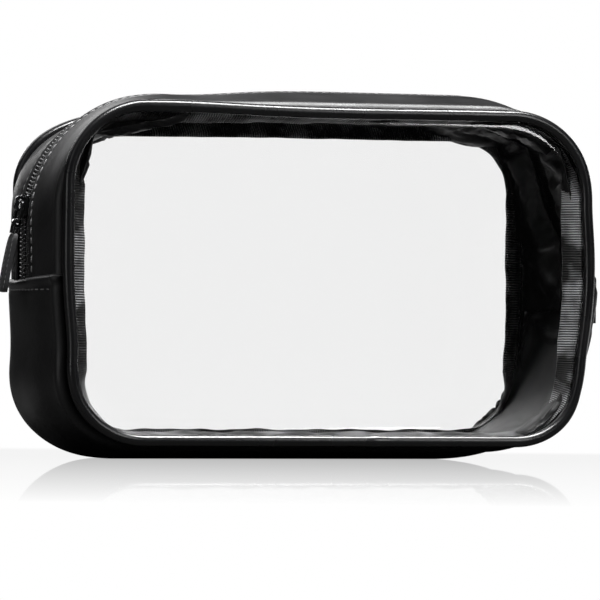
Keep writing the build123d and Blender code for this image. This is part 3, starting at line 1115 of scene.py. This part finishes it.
def place_tab(u, v):
    """u runs from the sewn end over the top and down to the folded end; v runs across."""
    top = tab_high.z - 1.2 * MM
    middle = (tab_low.x + tab_high.x) / 2
    inner_x = (tab_root_low.x + tab_root_high.x) / 2
    length = u * TAB_LENGTH
    rise = top - tab_root_low.z
    turn_radius = (middle - inner_x) / 2
    arc = pi * turn_radius
    angle = np.clip((length - rise) / turn_radius, 0, pi)
    down = np.clip(length - rise - arc, 0, None)
    x = inner_x + turn_radius * (1 - np.cos(angle))
    z = tab_root_low.z + np.minimum(length, rise) + turn_radius * np.sin(angle) * 0.9 - down
    y = (v - 0.5) * (tab_high.y - tab_low.y) * (1 - 0.04 * u)
    x = x + 0.5 * MM * np.sin(np.clip(down / (14 * MM), 0, 1) * pi) * np.cos(v * pi - pi / 2)
    return np.stack([x, y, z], axis=1)


def tab_leg(name, start, end, thickness):
    piece = lay_grid(name, 40, 22, lambda u, v: place_tab(start + (end - start) * u, v))
    thicken(piece, thickness, 0.0)
    apply_modifier(piece, "BEVEL", width=0.3 * MM, segments=2, limit_method="ANGLE")
    report(piece)
    return piece


tab_rise = (tab_high.z - 1.2 * MM - tab_root_low.z) / TAB_LENGTH
tab_fold = (tab_low.x + tab_high.x - tab_root_low.x - tab_root_high.x) / 4 * pi / TAB_LENGTH
tab_root = tab_leg("side_tab_sewn_leg", 0, tab_rise + 0.7 * tab_fold, 1.3 * MM)
side_tab = tab_leg("side_tab_free_leg", tab_rise + 0.3 * tab_fold, 1, 1.6 * MM)

# %% [markdown]
# ## Who rides on what
#
# Cloth that crosses the fold of the mouth only has its place baked into its mesh, and rides on no body. The
# rest rides on one body.


def finish_piece(piece, material):
    piece.data.materials.clear()
    piece.data.materials.append(material)


def bend_at_mouth(piece):
    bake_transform(piece)


for half in SIDES:
    for pieces, material, slot, cad in (
        (zip_bands, COATED, "pu_leather", "zip_band"),
        (piping, PIPED, "pu_leather", "piping"),
        (cords, FILLER, "piping_cord", "piping_cord"),
        (windows, FILM, "clear_pvc", "window"),
        (bindings, BINDING, "binding_tape", "binding"),
        (zip_linings, LINING, "lining_cloth", "lining"),
        (tapes, TAPE, "zip_tape", "zip_tape"),
        (coils, COIL, "zip_coil", "zip_coil"),
        (topstitches, THREAD, "pu_leather", None),
    ):
        piece = pieces[half]
        finish_piece(piece, material)
        bend_at_mouth(piece)
        if cad:
            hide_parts(f"{half}_{cad}_lower", f"{half}_{cad}_mouth")

for piece, material, slot, body, cad in (
    (base_band, COATED, "pu_leather", "root", ["base_band"]),
    (base_lining, LINING, "lining_cloth", "root", ["base_lining"]),
    (hem_stitches, THREAD, "pu_leather", "root", []),
    (strap, STRAP, "pull_leather", "strap", ["pull_strap"]),
    (strap_stitches, THREAD, "pull_leather", "strap", []),
    (tab_root, COATED, "pu_leather", "root", ["side_tab_root"]),
    (side_tab, COATED, "pu_leather", "side_tab", ["side_tab"]),
):
    finish_piece(piece, material)
    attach(piece, body)
    if cad:
        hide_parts(*cad)

# %% The hard pieces keep their shape; their edges are rounded so that they catch the light
def rounded_copy(name, body, width):
    """A copy of a frame node with rounded edges, riding on the same body."""
    source = frame["nodes"][name]
    mesh = source.data.copy()
    mesh.transform(source.matrix_world)
    piece = bpy.data.objects.new(f"{name}_rounded", mesh)
    bpy.context.scene.collection.objects.link(piece)
    in_edit(piece, merge_doubles, lambda: bpy.ops.mesh.dissolve_limited(angle_limit=radians(1)))
    apply_modifier(piece, "BEVEL", width=width, segments=2, limit_method="ANGLE", angle_limit=radians(35))
    active(piece)
    bpy.ops.object.shade_smooth_by_angle(angle=radians(40))
    finish_piece(piece, METAL)
    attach(piece, body)
    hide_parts(name)
    return piece


for name, body, width in (
    ("slider_body", "zip_slider", 0.22 * MM), ("slider_crown", "zip_slider", 0.18 * MM),
    ("pull_clip", "strap", 0.2 * MM), ("zip_left_stop", "root", 0.15 * MM),
    ("zip_right_stops", "root", 0.15 * MM),
):
    report(rounded_copy(name, body, width))
loop = frame["nodes"]["pull_loop"]
loop.data.materials.clear()
loop.data.materials.append(METAL)

# %% [markdown]
# ## Table, light and camera
#
# The bag stands on a white glossy table, with large soft lights behind and above it and weak ones in front.
# The blacks stay deep because the room behind the camera is almost dark. Only the camera sees the table
# white:
# to the bag it is dark grey, a painted shade, with a glowing patch behind on the right, a painted pool of
# light.

# %% Floor
VIEW_TURN = radians(19.17)
VIEW = (sin(VIEW_TURN), cos(VIEW_TURN), 0)


def ramp(tree, value, from_low, from_high, to_low, to_high):
    made = node(tree, "ShaderNodeMapRange", clamp=True)
    ends = {"From Min": from_low, "From Max": from_high, "To Min": to_low, "To Max": to_high}
    for label, number in ends.items():
        made.inputs[label].default_value = number
    tree.links.new(value, made.inputs["Value"])
    return made.outputs[0]


def along_view(tree, vector):
    dot = node(tree, "ShaderNodeVectorMath", operation="DOT_PRODUCT")
    dot.inputs[1].default_value = VIEW
    tree.links.new(vector, dot.inputs[0])
    return dot.outputs["Value"]


def make_floor():
    bpy.ops.object.select_all(action="DESELECT")
    bpy.ops.mesh.primitive_plane_add(size=8)
    floor = bpy.context.object
    floor.name = "table_top"
    material = bpy.data.materials.new("white table")
    material.use_nodes = True
    tree = material.node_tree
    tree.nodes.clear()
    link = tree.links.new
    out = node(tree, "ShaderNodeOutputMaterial")
    path = node(tree, "ShaderNodeLightPath")
    place = node(tree, "ShaderNodeTexCoord")
    white = node(tree, "ShaderNodeEmission", in_0=(1, 1, 1, 1), in_1=1.0)
    gloss = node(tree, "ShaderNodeBsdfAnisotropic", in_1=0.02)
    dull = node(tree, "ShaderNodeBsdfDiffuse", in_0=(0.05, 0.05, 0.05, 1))
    seen = node(tree, "ShaderNodeMixShader")
    both = node(tree, "ShaderNodeMixShader")
    distance = along_view(tree, place.outputs["Object"])
    near = ramp(tree, distance, -0.5, 0.0, 0.0, 1.0)
    front = ramp(tree, distance, 0.09, 0.14, 0.5, 0.0)
    fall = node(tree, "ShaderNodeMath", operation="POWER", in_1=0.8)
    share = node(tree, "ShaderNodeMath", operation="MULTIPLY")
    link(near, fall.inputs[0])
    link(fall.outputs[0], share.inputs[0])
    link(front, share.inputs[1])
    link(share.outputs[0], seen.inputs[0])
    link(white.outputs[0], seen.inputs[1])
    link(gloss.outputs[0], seen.inputs[2])
    # What the bag sees of the table is dark grey diffuse, a painted shade. A glow behind the bag on its right
    # stands in for a lit stretch of table: a painted pool of light.
    split = node(tree, "ShaderNodeSeparateXYZ")
    link(place.outputs["Object"], split.inputs[0])
    painted_light_patch = node(tree, "ShaderNodeMath", operation="MULTIPLY")
    link(ramp(tree, split.outputs["X"], -0.05, 0.2, 0.0, 1.5), painted_light_patch.inputs[0])
    link(ramp(tree, distance, 0.15, 0.4, 0.0, 1.0), painted_light_patch.inputs[1])
    bright = node(tree, "ShaderNodeEmission")
    lit = node(tree, "ShaderNodeAddShader")
    link(painted_light_patch.outputs[0], bright.inputs["Strength"])
    link(dull.outputs[0], lit.inputs[0])
    link(bright.outputs[0], lit.inputs[1])
    link(path.outputs["Is Camera Ray"], both.inputs[0])
    link(lit.outputs[0], both.inputs[1])
    link(seen.outputs[0], both.inputs[2])
    link(both.outputs[0], out.inputs["Surface"])
    floor.data.materials.append(material)


make_floor()


# %% Room: dim all round, with a white wall far behind the bag
ROOM_GLOW = (0.004, 0.02)


def make_room():
    world = bpy.data.worlds.new("white room")
    bpy.context.scene.world = world
    world.use_nodes = True
    tree = world.node_tree
    link = tree.links.new
    back = tree.nodes["Background"]
    back.inputs["Color"].default_value = (1, 1, 1, 1)
    place = node(tree, "ShaderNodeTexCoord")
    facing = along_view(tree, place.outputs["Generated"])
    wall = ramp(tree, facing, 0.965, 0.985, 0.0, 1.0)
    glow = ramp(tree, facing, -0.3, 0.5, *ROOM_GLOW)
    room = node(tree, "ShaderNodeMath", operation="MAXIMUM")
    link(wall, room.inputs[0])
    link(glow, room.inputs[1])
    path = node(tree, "ShaderNodeLightPath")
    top = node(tree, "ShaderNodeMath", operation="MAXIMUM")
    link(room.outputs[0], top.inputs[0])
    link(path.outputs["Is Camera Ray"], top.inputs[1])
    link(top.outputs[0], back.inputs["Strength"])


make_room()


# %% Soft lights
def soft_light(name, place, aim, size, power):
    data = bpy.data.lights.new(name, "AREA")
    data.shape = "RECTANGLE"
    data.size, data.size_y = size
    data.energy = power
    lamp = bpy.data.objects.new(name, data)
    bpy.context.scene.collection.objects.link(lamp)
    lamp.location = place
    lamp.rotation_euler = (Vector(aim) - Vector(place)).to_track_quat("-Z", "Y").to_euler()
    lamp.visible_camera = False


soft_light("behind", (-0.4, 0.85, 0.9), (0, 0, 0.06), (1.3, 0.6), 6.5)
soft_light("low behind", (0.45, 1.4, 0.32), (0, 0, 0.06), (1.2, 0.22), 4.5)
soft_light("overhead", (0.15, -0.25, 1.1), (0, 0, 0.06), (0.9, 0.22), 40)
soft_light("left", (-0.9, -0.6, 0.6), (0, 0, 0.07), (0.3, 0.5), 0.5)
soft_light("low left", (-1.0, -0.5, 0.12), (0.1, 0, 0.08), (0.25, 0.3), 0.9)
soft_light("right", (0.5, -0.9, 0.5), (0, 0, 0.07), (0.15, 0.5), 2.5)

# %% Camera
CAMERA_DISTANCE = 1.814
CAMERA_HEIGHT = 0.0435
AIM_HEIGHT = 0.0571
LENS = 301.9
ROLL = radians(0.54)
camera_data = bpy.data.cameras.new("camera")
camera = bpy.data.objects.new("camera", camera_data)
bpy.context.scene.collection.objects.link(camera)
camera_data.lens = LENS
camera_data.sensor_width = 36
camera_data.clip_end = 20
camera.location = (-CAMERA_DISTANCE * sin(VIEW_TURN), -CAMERA_DISTANCE * cos(VIEW_TURN), CAMERA_HEIGHT)
aim = Vector((-0.0014 * cos(VIEW_TURN), 0.0014 * sin(VIEW_TURN), AIM_HEIGHT))
look = (aim - camera.location).to_track_quat("-Z", "Y").to_matrix().to_4x4()
camera.rotation_euler = (look @ Matrix.Rotation(ROLL, 4, "Z")).to_euler()
bpy.context.scene.camera = camera
bpy.context.scene.view_settings.view_transform = "Standard"
